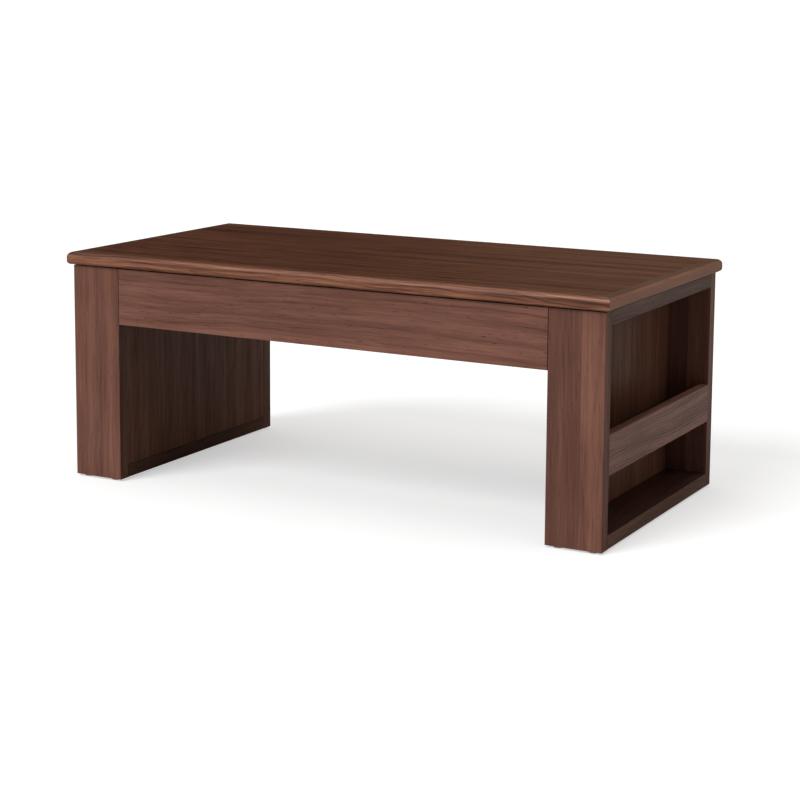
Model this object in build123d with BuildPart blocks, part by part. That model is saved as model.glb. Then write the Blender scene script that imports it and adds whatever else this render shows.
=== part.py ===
from build123d import *
import os
from math import cos, radians, sin

# A lift top coffee table. Millimetres, +Z up, the origin on the floor under the
# middle of the table, the front towards -Y and the left end towards -X.
# Two leg boxes with open book shelves in their outer ends carry a shallow case.
# The top rides on a pair of parallel arms at each end of the case, so that it
# rises level and comes forward over the sitter's knees.

# ---------- Driving dimensions ----------

# Top
top_length = 1200.0
top_depth = 600.0
top_thickness = 26.0
top_overhang = 10.0         # past the legs, all round
lipping_width = 20.0        # solid wood edging round the veneered panel
lipping_top_radius = 11.0
lipping_bottom_radius = 7.0

# Legs
leg_width = 112.5
leg_height = 440.0
leg_board = 27.0            # front, back, top and bottom boards
edge_round = 1.0            # softened long edges of the boards
inner_panel_thickness = 24.0
inner_panel_recess = 1.0    # shadow line inside the frame of boards
shelf_thickness = 18.0
shelf_height = 175.0        # upper face above the foot of the leg
fence_thickness = 18.0
fence_bottom = 136.5        # above the foot of the leg
fence_height = 76.5
glide_height = 4.0
glide_radius = 9.0
glide_inset = 22.0          # from the leg's sides to the glide's centre, under its uprights

# Case between the legs
apron_height = 115.5
apron_thickness = 19.0
apron_gap = 1.0             # shadow gap at each end of the apron
case_end_thickness = 18.0
case_bottom_thickness = 9.0
cleat_height = 8.0
cleat_depth = 15.0

# Top at rest on its bumpers
lid_gap = 2.0
bumper_radius = 6.0
bumper_inset = 30.0
bumper_clearance = 0.1

# Joinery
dowel_radius = 4.0
dowel_spacing = 50.0
dowel_in_face = 14.0        # depth in the front and back boards
dowel_in_end = 27.0         # depth in the ends of the top and bottom boards
dowel_clearance = 0.05
case_bolt_radius = 3.0
case_bolt_head_radius = 6.0
case_bolt_head_height = 3.5
case_bolt_grip = 20.0       # depth in the leg's inner panel
case_bolt_rise = 14.0       # above the case bottom
case_bolt_spacing = 156.0
case_bolt_count = 4
hole_clearance = 0.05

# Lift mechanism, one set of arms at each end
arm_length = 220.0
arm_width = 24.0
arm_thickness = 4.0
arm_closed_angle = 8.0      # above the horizontal, pointing back
arm_open_angle = 110.0      # leaning forward, against the stop
pivot_pitch = 130.0         # the front arm is this far in front of the rear one
pivot_rise = 12.0           # and this much higher
top_pivot_drop = 27.0       # rear top pivot below the underside of the top
spring_arm = 100.0          # front pivot to either end of the spring
spring_setback = 31.0       # spring anchor behind the front apron
plate_thickness = 3.0       # base plate and top bracket
washer_thickness = 2.0
washer_radius = 9.0
running_clearance = 0.05    # arms on their pins
face_clearance = 0.2        # between an arm and the head of its pin
pin_radius = 4.0
pin_head_radius = 7.0
pin_head_height = 2.0
plate_front_margin = 15.0   # base plate past the spring anchor
plate_back_margin = 25.0    # base plate past the rear pivot
plate_bottom_margin = 18.0  # base plate below the rear pivot
plate_top_margin = 31.0     # base plate above the front pivot
plate_corner_radius = 9.0
plate_slot_length = 40.0
plate_slot_radius = 4.0
bracket_margin = 23.0       # top bracket past its pivots
bracket_depth = 25.0        # vertical flange below the top
bracket_flange = 24.0       # horizontal flange, screwed to the top
bracket_lug_radius = 14.0
cross_tube_radius = 8.0
cross_tube_bore = 6.5
cross_tube_setback = 70.0   # from the rear top pivot, down the arm
stop_stud_radius = 4.0
stop_stud_reach = 30.0      # from the front pivot
stop_clearance = 0.3
spring_radius = 8.0
spring_wire_radius = 1.2
spring_inboard = 18.0       # spring's centre line from the plate's inner face
spring_hook_length = 17.0
spring_stud_radius = 3.5
spring_stud_past = 5.0      # stud end past the spring's centre line
hook_clearance = 0.3
screw_radius = 2.0
screw_head_radius = 3.8
screw_head_height = 1.6
screw_length = 16.0
plate_screw_inset = 7.0
bracket_screw_pitch = 60.0
bracket_screw_count = 3

# ---------- Places that follow from them ----------

SIDES = (("left", -1), ("right", 1))
ENDS = (("front", 1), ("back", -1))

half_length = top_length / 2 - top_overhang             # legs' outer faces
half_depth = top_depth / 2 - top_overhang               # legs' front and back faces
leg_centre = half_length - leg_width / 2
leg_inner = half_length - leg_width                     # legs' inner faces
board_inner = half_depth - leg_board                    # between front and back boards
upright_centre = half_depth - leg_board / 2
leg_top = glide_height + leg_height
top_underside = leg_top + lid_gap
panel_face = leg_inner + inner_panel_recess
shelf_start = panel_face + inner_panel_thickness
fence_face = half_length - fence_thickness
shelf_top = glide_height + shelf_height

apron_bottom = leg_top - apron_height
apron_inner = half_depth - apron_thickness
case_inner = leg_inner - case_end_thickness             # inner faces of the case ends
floor_bottom = apron_bottom + cleat_height
floor_top = floor_bottom + case_bottom_thickness

plate_face = case_inner - plate_thickness
arm_outer = plate_face - washer_thickness
arm_inner = arm_outer - arm_thickness
bracket_outer = arm_inner - washer_thickness
bracket_inner = bracket_outer - plate_thickness
spring_line = plate_face - spring_inboard
stud_end = spring_line - spring_stud_past


def along(start, angle, distance):
    """Point at a distance and an angle, in degrees from +Y towards +Z, from a (y, z) point."""
    return (start[0] + distance * cos(radians(angle)), start[1] + distance * sin(radians(angle)))


spring_anchor_y = spring_setback - apron_inner
front_pivot_y = spring_anchor_y + spring_arm
rear_pivot_y = front_pivot_y + pivot_pitch
rear_pivot_z = top_underside - top_pivot_drop - arm_length * sin(radians(arm_closed_angle))
front_pivot_z = rear_pivot_z + pivot_rise

front_pivot = (front_pivot_y, front_pivot_z)
rear_pivot = (rear_pivot_y, rear_pivot_z)
front_top_pivot = along(front_pivot, arm_closed_angle, arm_length)
rear_top_pivot = along(rear_pivot, arm_closed_angle, arm_length)
spring_anchor = (spring_anchor_y, front_pivot_z)
spring_stud = along(front_pivot, arm_closed_angle, spring_arm)
cross_tube_centre = along(rear_pivot, arm_closed_angle, arm_length - cross_tube_setback)

# The spring's two ends are equally far from the front pivot, so it turns by half
# as much as the arm does. The stop stud bears on the arm's edge at full lift.
spring_angle = arm_closed_angle / 2
spring_length = 2 * spring_arm * cos(radians(spring_angle))
stop_offset = arm_width / 2 + stop_stud_radius + stop_clearance
stop_along = (stop_stud_reach ** 2 - stop_offset ** 2) ** 0.5
stop_stud = along(
    along(front_pivot, arm_open_angle, stop_along), arm_open_angle + 90, stop_offset
)

plate_front = spring_anchor_y - plate_front_margin
plate_back = rear_pivot_y + plate_back_margin
plate_bottom = rear_pivot_z - plate_bottom_margin
plate_top = front_pivot_z + plate_top_margin
plate_middle = ((plate_front + plate_back) / 2, (plate_bottom + plate_top) / 2)
bracket_front = front_top_pivot[0] - bracket_margin
bracket_back = rear_top_pivot[0] + bracket_margin
bracket_middle = (bracket_front + bracket_back) / 2
bracket_screw_line = bracket_inner - bracket_flange / 2
plate_screw_points = [
    (y, z)
    for y in (plate_front + plate_screw_inset, plate_back - plate_screw_inset)
    for z in (plate_bottom + plate_screw_inset, plate_top - plate_screw_inset)
]
bracket_screw_points = [
    bracket_middle + bracket_screw_pitch * (i - (bracket_screw_count - 1) / 2)
    for i in range(bracket_screw_count)
]
case_bolt_points = [
    (case_bolt_spacing * (i - (case_bolt_count - 1) / 2), floor_top + case_bolt_rise)
    for i in range(case_bolt_count)
]
board_levels = (glide_height + leg_board / 2, leg_top - leg_board / 2)

os.makedirs("parts", exist_ok=True)

# ---------- Legs ----------

for side, sign in SIDES:
    dowel_points = [
        (sign * leg_centre + offset, level)
        for offset in (-dowel_spacing / 2, dowel_spacing / 2)
        for level in board_levels
    ]

    for end, way in ENDS:
        # Full height boards, drilled for the dowels of the boards between them
        with BuildPart() as upright_board:
            with BuildSketch(Plane.XY.offset(glide_height)):
                with Locations((sign * leg_centre, -way * upright_centre)):
                    Rectangle(leg_width, leg_board)
            extrude(amount=leg_height)
            fillet(upright_board.edges().filter_by(Axis.Z), edge_round)
            with BuildSketch(Plane.XZ.offset(way * board_inner)):
                with Locations(*dowel_points):
                    Circle(dowel_radius + dowel_clearance)
            extrude(amount=way * dowel_in_face, mode=Mode.SUBTRACT)
        upright_board.part.label = f"{side}_leg_{end}_board"
        export_step(upright_board.part, f"parts/{side}_leg_{end}_board.step")

    for level_name, level in zip(("bottom", "top"), board_levels):
        with BuildPart() as cross_board:
            with BuildSketch(Plane.XY.offset(level - leg_board / 2)):
                with Locations((sign * leg_centre, 0)):
                    Rectangle(leg_width, 2 * board_inner)
            extrude(amount=leg_board)
            fillet(cross_board.edges().filter_by(Axis.Y), edge_round)
            for way in (1, -1):
                with BuildSketch(Plane.XZ.offset(way * board_inner)):
                    with Locations((sign * leg_centre, level)):
                        with GridLocations(dowel_spacing, 0, 2, 1):
                            Circle(dowel_radius + dowel_clearance)
                extrude(amount=-way * dowel_in_end, mode=Mode.SUBTRACT)
        cross_board.part.label = f"{side}_leg_{level_name}_board"
        export_step(cross_board.part, f"parts/{side}_leg_{level_name}_board.step")

    with BuildPart() as dowels:
        for way in (1, -1):
            with BuildSketch(Plane.XZ.offset(way * (board_inner + dowel_in_face))):
                with Locations(*dowel_points):
                    Circle(dowel_radius)
            extrude(amount=-way * (dowel_in_face + dowel_in_end))
    dowels.part.label = f"{side}_leg_dowels"
    export_step(dowels.part, f"parts/{side}_leg_dowels.step")

    # The panel that closes the leg towards the case, drilled for the case bolts
    with BuildPart() as inner_panel:
        with BuildSketch(Plane.YZ.offset(sign * panel_face)):
            with Locations((0, (glide_height + leg_top) / 2)):
                Rectangle(2 * board_inner, leg_height - 2 * leg_board)
        extrude(amount=sign * inner_panel_thickness)
        with BuildSketch(Plane.YZ.offset(sign * panel_face)):
            with Locations(*case_bolt_points):
                Circle(case_bolt_radius + hole_clearance)
        extrude(amount=sign * case_bolt_grip, mode=Mode.SUBTRACT)
    inner_panel.part.label = f"{side}_leg_inner_panel"
    export_step(inner_panel.part, f"parts/{side}_leg_inner_panel.step")

    # Book shelf with a deep fence, flush with the outer face of the leg
    with BuildPart() as shelf:
        with BuildSketch(Plane.XY.offset(shelf_top)):
            with Locations((sign * (shelf_start + fence_face) / 2, 0)):
                Rectangle(fence_face - shelf_start, 2 * board_inner)
        extrude(amount=-shelf_thickness)
    shelf.part.label = f"{side}_leg_shelf"
    export_step(shelf.part, f"parts/{side}_leg_shelf.step")

    with BuildPart() as fence:
        with BuildSketch(Plane.YZ.offset(sign * fence_face)):
            with Locations((0, glide_height + fence_bottom + fence_height / 2)):
                Rectangle(2 * board_inner, fence_height)
        extrude(amount=sign * fence_thickness)
        fillet(fence.edges().filter_by(Axis.Y), edge_round)
    fence.part.label = f"{side}_leg_fence"
    export_step(fence.part, f"parts/{side}_leg_fence.step")

    with BuildPart() as glides:
        with BuildSketch(Plane.XY):
            with Locations((sign * leg_centre, 0)):
                with GridLocations(leg_width - 2 * glide_inset, 2 * upright_centre, 2, 2):
                    Circle(glide_radius)
        extrude(amount=glide_height)
        chamfer(glides.edges().group_by(Axis.Z)[0], glide_height / 4)
    glides.part.label = f"{side}_leg_glides"
    export_step(glides.part, f"parts/{side}_leg_glides.step")

# ---------- Case ----------

for end, way in ENDS:
    with BuildPart() as apron:
        with BuildSketch(Plane.XZ.offset(way * apron_inner)):
            with Locations((0, apron_bottom + apron_height / 2)):
                Rectangle(2 * (leg_inner - apron_gap), apron_height)
        extrude(amount=way * apron_thickness)
        fillet(apron.edges().filter_by(Axis.X), edge_round)
    apron.part.label = f"apron_{end}"
    export_step(apron.part, f"parts/apron_{end}.step")

    with BuildPart() as long_cleat:
        with BuildSketch(Plane.XY.offset(apron_bottom)):
            with Locations((0, -way * (apron_inner - cleat_depth / 2))):
                Rectangle(2 * case_inner, cleat_depth)
        extrude(amount=cleat_height)
    long_cleat.part.label = f"cleat_{end}"
    export_step(long_cleat.part, f"parts/cleat_{end}.step")

for side, sign in SIDES:
    # Case end, between the aprons and against the leg, drilled for bolts and screws
    with BuildPart() as case_end:
        with BuildSketch(Plane.YZ.offset(sign * case_inner)):
            with Locations((0, apron_bottom + apron_height / 2)):
                Rectangle(2 * apron_inner, apron_height)
        extrude(amount=sign * case_end_thickness)
        with BuildSketch(Plane.YZ.offset(sign * case_inner)):
            with Locations(*case_bolt_points):
                Circle(case_bolt_radius + hole_clearance)
        extrude(amount=sign * case_end_thickness, mode=Mode.SUBTRACT)
        with BuildSketch(Plane.YZ.offset(sign * case_inner)):
            with Locations(*plate_screw_points):
                Circle(screw_radius + hole_clearance)
        extrude(amount=sign * (screw_length - plate_thickness), mode=Mode.SUBTRACT)
    case_end.part.label = f"case_end_{side}"
    export_step(case_end.part, f"parts/case_end_{side}.step")

    with BuildPart() as short_cleat:
        with BuildSketch(Plane.XY.offset(apron_bottom)):
            with Locations((sign * (case_inner - cleat_depth / 2), 0)):
                Rectangle(cleat_depth, 2 * (apron_inner - cleat_depth))
        extrude(amount=cleat_height)
    short_cleat.part.label = f"cleat_{side}"
    export_step(short_cleat.part, f"parts/cleat_{side}.step")

with BuildPart() as case_bottom:
    with BuildSketch(Plane.XY.offset(floor_bottom)):
        Rectangle(2 * case_inner, 2 * apron_inner)
    extrude(amount=case_bottom_thickness)
case_bottom.part.label = "case_bottom"
export_step(case_bottom.part, "parts/case_bottom.step")

with BuildPart() as case_bolts:
    for side, sign in SIDES:
        with BuildSketch(Plane.YZ.offset(sign * case_inner)):
            with Locations(*case_bolt_points):
                Circle(case_bolt_radius)
        extrude(amount=sign * (panel_face + case_bolt_grip - case_inner))
        with BuildSketch(Plane.YZ.offset(sign * case_inner)):
            with Locations(*case_bolt_points):
                Circle(case_bolt_head_radius)
        extrude(amount=-sign * case_bolt_head_height)
case_bolts.part.label = "case_bolts"
export_step(case_bolts.part, "parts/case_bolts.step")

with BuildPart() as bumpers:
    with BuildSketch(Plane.XY.offset(leg_top)):
        with GridLocations(2 * (half_length - bumper_inset), 2 * (half_depth - bumper_inset), 2, 2):
            Circle(bumper_radius)
    extrude(amount=lid_gap - bumper_clearance)
bumpers.part.label = "bumpers"
export_step(bumpers.part, "parts/bumpers.step")

# ---------- Top ----------

panel_half_length = top_length / 2 - lipping_width
panel_half_depth = top_depth / 2 - lipping_width

with BuildPart() as top_panel:
    with BuildSketch(Plane.XY.offset(top_underside)):
        Rectangle(2 * panel_half_length, 2 * panel_half_depth)
    extrude(amount=top_thickness)
    for side, sign in SIDES:
        with BuildSketch(Plane.XY.offset(top_underside)):
            with Locations(*[(sign * bracket_screw_line, y) for y in bracket_screw_points]):
                Circle(screw_radius + hole_clearance)
        extrude(amount=screw_length - plate_thickness, mode=Mode.SUBTRACT)
top_panel.part.label = "top_panel"
export_step(top_panel.part, "parts/top_panel.step")

for end, way in ENDS:
    # Long lipping, mitred at its ends and rounded along its outer edges
    with BuildPart() as long_lipping:
        with BuildSketch(Plane.XY.offset(top_underside)):
            with BuildLine():
                Polyline(
                    (-top_length / 2, -way * top_depth / 2),
                    (top_length / 2, -way * top_depth / 2),
                    (panel_half_length, -way * panel_half_depth),
                    (-panel_half_length, -way * panel_half_depth),
                    close=True,
                )
            make_face()
        extrude(amount=top_thickness)
        outer = long_lipping.edges().filter_by(Axis.X).group_by(Axis.Y)[0 if way > 0 else -1]
        fillet(outer.sort_by(Axis.Z)[-1], lipping_top_radius)
        outer = long_lipping.edges().filter_by(Axis.X).group_by(Axis.Y)[0 if way > 0 else -1]
        fillet(outer.sort_by(Axis.Z)[0], lipping_bottom_radius)
    long_lipping.part.label = f"lipping_{end}"
    export_step(long_lipping.part, f"parts/lipping_{end}.step")

for side, sign in SIDES:
    with BuildPart() as short_lipping:
        with BuildSketch(Plane.XY.offset(top_underside)):
            with BuildLine():
                Polyline(
                    (sign * top_length / 2, -top_depth / 2),
                    (sign * top_length / 2, top_depth / 2),
                    (sign * panel_half_length, panel_half_depth),
                    (sign * panel_half_length, -panel_half_depth),
                    close=True,
                )
            make_face()
        extrude(amount=top_thickness)
        outer = short_lipping.edges().filter_by(Axis.Y).group_by(Axis.X)[-1 if sign > 0 else 0]
        fillet(outer.sort_by(Axis.Z)[-1], lipping_top_radius)
        outer = short_lipping.edges().filter_by(Axis.Y).group_by(Axis.X)[-1 if sign > 0 else 0]
        fillet(outer.sort_by(Axis.Z)[0], lipping_bottom_radius)
    short_lipping.part.label = f"lipping_{side}"
    export_step(short_lipping.part, f"parts/lipping_{side}.step")

# ---------- Lift mechanism ----------

for side, sign in SIDES:
    # Base plate, screwed to the inside of the case end
    with BuildPart() as base_plate:
        with BuildSketch(Plane.YZ.offset(sign * plate_face)):
            with Locations(plate_middle):
                RectangleRounded(
                    plate_back - plate_front, plate_top - plate_bottom, plate_corner_radius
                )
            with Locations(front_pivot, rear_pivot):
                Circle(pin_radius + running_clearance, mode=Mode.SUBTRACT)
            with Locations(spring_anchor):
                Circle(spring_stud_radius + hole_clearance, mode=Mode.SUBTRACT)
            with Locations(stop_stud):
                Circle(stop_stud_radius + hole_clearance, mode=Mode.SUBTRACT)
            with Locations(*plate_screw_points):
                Circle(screw_radius + hole_clearance, mode=Mode.SUBTRACT)
            with Locations((plate_middle[0], plate_bottom + 2 * plate_slot_radius)):
                with GridLocations(2 * plate_slot_length, 0, 2, 1):
                    SlotOverall(plate_slot_length, 2 * plate_slot_radius, mode=Mode.SUBTRACT)
        extrude(amount=sign * plate_thickness)
    base_plate.part.label = f"base_plate_{side}"
    export_step(base_plate.part, f"parts/base_plate_{side}.step")

    # Rear arm, carrying the cross tube, and front arm, drilled for the spring stud
    with BuildPart() as rear_arm:
        with BuildSketch(Plane.YZ.offset(sign * arm_inner)):
            with BuildLine():
                Line(rear_pivot, rear_top_pivot)
            trace(line_width=arm_width)
            with Locations(rear_pivot, rear_top_pivot):
                Circle(arm_width / 2)
            with Locations(rear_pivot, rear_top_pivot):
                Circle(pin_radius + running_clearance, mode=Mode.SUBTRACT)
        extrude(amount=sign * arm_thickness)
    rear_arm.part.label = f"rear_arm_{side}"
    export_step(rear_arm.part, f"parts/rear_arm_{side}.step")

    with BuildPart() as front_arm:
        with BuildSketch(Plane.YZ.offset(sign * arm_inner)):
            with BuildLine():
                Line(front_pivot, front_top_pivot)
            trace(line_width=arm_width)
            with Locations(front_pivot, front_top_pivot):
                Circle(arm_width / 2)
            with Locations(front_pivot, front_top_pivot):
                Circle(pin_radius + running_clearance, mode=Mode.SUBTRACT)
            with Locations(spring_stud):
                Circle(spring_stud_radius + hole_clearance, mode=Mode.SUBTRACT)
        extrude(amount=sign * arm_thickness)
    front_arm.part.label = f"front_arm_{side}"
    export_step(front_arm.part, f"parts/front_arm_{side}.step")

    # Top bracket, an angle with a lug round each pivot
    with BuildPart() as top_bracket:
        with BuildSketch(Plane.YZ.offset(sign * bracket_inner)):
            with Locations((bracket_middle, top_underside - bracket_depth / 2)):
                Rectangle(bracket_back - bracket_front, bracket_depth)
            for pivot in (front_top_pivot, rear_top_pivot):
                with Locations((pivot[0], (pivot[1] + top_underside) / 2)):
                    Rectangle(2 * bracket_lug_radius, top_underside - pivot[1])
                with Locations(pivot):
                    Circle(bracket_lug_radius)
            with Locations(front_top_pivot, rear_top_pivot):
                Circle(pin_radius + running_clearance, mode=Mode.SUBTRACT)
        extrude(amount=sign * plate_thickness)
        with BuildSketch(Plane.XY.offset(top_underside)):
            with Locations((sign * bracket_screw_line, bracket_middle)):
                Rectangle(bracket_flange, bracket_back - bracket_front)
        extrude(amount=-plate_thickness)
        with BuildSketch(Plane.XY.offset(top_underside)):
            with Locations(*[(sign * bracket_screw_line, y) for y in bracket_screw_points]):
                Circle(screw_radius + hole_clearance)
        extrude(amount=-plate_thickness, mode=Mode.SUBTRACT)
    top_bracket.part.label = f"top_bracket_{side}"
    export_step(top_bracket.part, f"parts/top_bracket_{side}.step")

    # Extension spring: a sleeve over its coils, with a hook eye at each end
    spring_plane = Plane(
        origin=(sign * spring_line, *spring_anchor),
        x_dir=(0, cos(radians(spring_angle)), sin(radians(spring_angle))),
        z_dir=(1, 0, 0),
    )
    with BuildPart() as spring:
        with BuildSketch(spring_plane):
            with Locations((spring_length / 2, 0)):
                Rectangle(spring_length - 2 * spring_hook_length, 2 * spring_radius)
        extrude(amount=spring_radius, both=True)
        coil_edges = spring.edges().filter_by(
            lambda edge: edge.length > spring_length - 2 * spring_hook_length - 1
        )
        fillet(coil_edges, spring_radius - spring_wire_radius)
        with BuildSketch(spring_plane):
            for centre, inward in ((0, 1), (spring_length, -1)):
                with Locations((centre, 0)):
                    Circle(spring_stud_radius + hook_clearance + 2 * spring_wire_radius)
                with Locations((centre + inward * spring_hook_length / 2, 0)):
                    Rectangle(spring_hook_length, 2 * spring_wire_radius)
                with Locations((centre, 0)):
                    Circle(spring_stud_radius + hook_clearance, mode=Mode.SUBTRACT)
        extrude(amount=spring_wire_radius, both=True)
    spring.part.label = f"spring_{side}"
    export_step(spring.part, f"parts/spring_{side}.step")

with BuildPart() as cross_tube:
    with BuildSketch(Plane.YZ.offset(-arm_inner)):
        with Locations(cross_tube_centre):
            Circle(cross_tube_radius)
            Circle(cross_tube_bore, mode=Mode.SUBTRACT)
    extrude(amount=2 * arm_inner)
cross_tube.part.label = "cross_tube"
export_step(cross_tube.part, "parts/cross_tube.step")

# Pins headed over the arms: two in each base plate, two in each top bracket
with BuildPart() as base_pins:
    for side, sign in SIDES:
        with BuildSketch(Plane.YZ.offset(sign * case_inner)):
            with Locations(front_pivot, rear_pivot):
                Circle(pin_radius)
        extrude(amount=-sign * (case_inner - arm_inner + face_clearance))
        with BuildSketch(Plane.YZ.offset(sign * (arm_inner - face_clearance))):
            with Locations(front_pivot, rear_pivot):
                Circle(pin_head_radius)
        extrude(amount=-sign * pin_head_height)
base_pins.part.label = "base_pins"
export_step(base_pins.part, "parts/base_pins.step")

with BuildPart() as bracket_pins:
    for side, sign in SIDES:
        with BuildSketch(Plane.YZ.offset(sign * bracket_inner)):
            with Locations(front_top_pivot, rear_top_pivot):
                Circle(pin_radius)
        extrude(amount=sign * (arm_outer + face_clearance - bracket_inner))
        with BuildSketch(Plane.YZ.offset(sign * bracket_inner)):
            with Locations(front_top_pivot, rear_top_pivot):
                Circle(pin_head_radius)
        extrude(amount=-sign * pin_head_height)
        with BuildSketch(Plane.YZ.offset(sign * (arm_outer + face_clearance))):
            with Locations(front_top_pivot, rear_top_pivot):
                Circle(pin_head_radius)
        extrude(amount=sign * pin_head_height)
bracket_pins.part.label = "bracket_pins"
export_step(bracket_pins.part, "parts/bracket_pins.step")

with BuildPart() as base_washers:
    for side, sign in SIDES:
        with BuildSketch(Plane.YZ.offset(sign * plate_face)):
            with Locations(front_pivot, rear_pivot):
                Circle(washer_radius)
                Circle(pin_radius + running_clearance, mode=Mode.SUBTRACT)
        extrude(amount=-sign * (washer_thickness - face_clearance))
base_washers.part.label = "base_washers"
export_step(base_washers.part, "parts/base_washers.step")

with BuildPart() as bracket_washers:
    for side, sign in SIDES:
        with BuildSketch(Plane.YZ.offset(sign * bracket_outer)):
            with Locations(front_top_pivot, rear_top_pivot):
                Circle(washer_radius)
                Circle(pin_radius + running_clearance, mode=Mode.SUBTRACT)
        extrude(amount=sign * (washer_thickness - face_clearance))
bracket_washers.part.label = "bracket_washers"
export_step(bracket_washers.part, "parts/bracket_washers.step")

# Studs: the stop for the front arm, and one at each end of each spring
with BuildPart() as stop_studs:
    for side, sign in SIDES:
        with BuildSketch(Plane.YZ.offset(sign * case_inner)):
            with Locations(stop_stud):
                Circle(stop_stud_radius)
        extrude(amount=-sign * (case_inner - arm_inner))
stop_studs.part.label = "stop_studs"
export_step(stop_studs.part, "parts/stop_studs.step")

with BuildPart() as spring_anchors:
    for side, sign in SIDES:
        with BuildSketch(Plane.YZ.offset(sign * case_inner)):
            with Locations(spring_anchor):
                Circle(spring_stud_radius)
        extrude(amount=-sign * (case_inner - stud_end))
spring_anchors.part.label = "spring_anchors"
export_step(spring_anchors.part, "parts/spring_anchors.step")

with BuildPart() as spring_studs:
    for side, sign in SIDES:
        with BuildSketch(Plane.YZ.offset(sign * arm_outer)):
            with Locations(spring_stud):
                Circle(spring_stud_radius)
        extrude(amount=-sign * (arm_outer - stud_end))
spring_studs.part.label = "spring_studs"
export_step(spring_studs.part, "parts/spring_studs.step")

# Screws of the base plates and of the top brackets
with BuildPart() as plate_screws:
    for side, sign in SIDES:
        with BuildSketch(Plane.YZ.offset(sign * plate_face)):
            with Locations(*plate_screw_points):
                Circle(screw_radius)
        extrude(amount=sign * screw_length)
        with BuildSketch(Plane.YZ.offset(sign * plate_face)):
            with Locations(*plate_screw_points):
                Circle(screw_head_radius)
        extrude(amount=-sign * screw_head_height)
plate_screws.part.label = "plate_screws"
export_step(plate_screws.part, "parts/plate_screws.step")

with BuildPart() as bracket_screws:
    for side, sign in SIDES:
        screw_points = [(sign * bracket_screw_line, y) for y in bracket_screw_points]
        with BuildSketch(Plane.XY.offset(top_underside - plate_thickness)):
            with Locations(*screw_points):
                Circle(screw_radius)
        extrude(amount=screw_length)
        with BuildSketch(Plane.XY.offset(top_underside - plate_thickness)):
            with Locations(*screw_points):
                Circle(screw_head_radius)
        extrude(amount=-screw_head_height)
bracket_screws.part.label = "bracket_screws"
export_step(bracket_screws.part, "parts/bracket_screws.step")

# The axes that the arms, the top and the springs turn about, as (y, z)
print("rear pivot", rear_pivot, "front pivot", front_pivot)
print("rear top pivot", rear_top_pivot, "spring anchor", spring_anchor)
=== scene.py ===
"""A lift top coffee table in walnut veneer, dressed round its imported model."""

import sys
import logging
import math
from dataclasses import dataclass
from enum import Enum
from typing import Any, Iterable, Mapping, Sequence

import bmesh
import bpy
from mathutils import Matrix, Vector


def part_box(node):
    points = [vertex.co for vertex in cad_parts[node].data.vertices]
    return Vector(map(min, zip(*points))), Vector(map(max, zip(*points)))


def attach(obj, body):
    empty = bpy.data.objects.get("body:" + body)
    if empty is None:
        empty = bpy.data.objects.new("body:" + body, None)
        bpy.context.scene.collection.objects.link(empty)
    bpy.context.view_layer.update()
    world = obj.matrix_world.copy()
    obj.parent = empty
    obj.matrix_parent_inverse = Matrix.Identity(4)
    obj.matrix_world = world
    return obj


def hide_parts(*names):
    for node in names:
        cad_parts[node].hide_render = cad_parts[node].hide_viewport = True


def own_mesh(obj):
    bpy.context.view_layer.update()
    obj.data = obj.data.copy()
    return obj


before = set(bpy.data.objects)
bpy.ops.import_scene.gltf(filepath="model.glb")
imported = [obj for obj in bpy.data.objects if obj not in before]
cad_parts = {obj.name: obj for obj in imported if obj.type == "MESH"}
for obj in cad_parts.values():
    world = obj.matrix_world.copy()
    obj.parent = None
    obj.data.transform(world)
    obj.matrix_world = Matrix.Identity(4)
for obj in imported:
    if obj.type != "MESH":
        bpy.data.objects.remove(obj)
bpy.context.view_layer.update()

MM = 0.001
SIDES = (("left", -1), ("right", 1))

logging.basicConfig(level=logging.INFO, format="%(message)s", stream=sys.stdout)
log = logging.getLogger("coffee_table")

Point = tuple[float, float, float]
Colour = tuple[float, float, float, float]
Point2 = tuple[float, float]
Profile = list[Point2]


class Way(Enum):
    """A direction in the table's own frame."""

    LENGTH = 0
    DEPTH = 1
    HEIGHT = 2


# ---------- Colours and nodes ----------


def linear(hex_colour: str, strength: float = 1.0) -> Colour:
    """Turns an sRGB hex colour to linear light.

    Args:
        hex_colour: Six hex digits after a hash.
        strength: Scales the linear colour.

    Returns:
        Red, green, blue and an alpha of one.
    """
    parts = [int(hex_colour[i : i + 2], 16) / 255 for i in (1, 3, 5)]
    light = [c / 12.92 if c <= 0.04045 else ((c + 0.055) / 1.055) ** 2.4 for c in parts]
    red, green, blue = (c * strength for c in light)
    return red, green, blue, 1.0


def node(
    tree: bpy.types.NodeTree,
    kind: str,
    settings: Mapping[str | int, Any] | None = None,
    links: Mapping[str | int, bpy.types.NodeSocket] | None = None,
    stops: Sequence[tuple[float, Colour]] = (),
) -> bpy.types.Node:
    """Adds a node to a tree.

    Args:
        tree: The tree that takes the node.
        kind: Blender's name for the kind of node, past the words ShaderNode.
        settings: Input sockets, by name or number, or properties, with their values.
        links: Input sockets, by name or number, with the output that feeds each.
        stops: For a colour ramp, places from 0 to 1 with their linear colours.

    Returns:
        The new node.
    """
    made = tree.nodes.new(f"ShaderNode{kind}")
    later = {}
    for key, value in (settings or {}).items():
        if isinstance(key, str) and hasattr(made, key):
            setattr(made, key, value)
        else:
            later[key] = value
    for key, value in later.items():
        made.inputs[key].default_value = value
    for key, source in (links or {}).items():
        tree.links.new(source, made.inputs[key])
    if stops:
        elements = made.color_ramp.elements
        while len(elements) < len(stops):
            elements.new(1.0)
        for element, (place, colour) in zip(elements, stops):
            element.position = place
            element.color = colour
    return made


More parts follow.
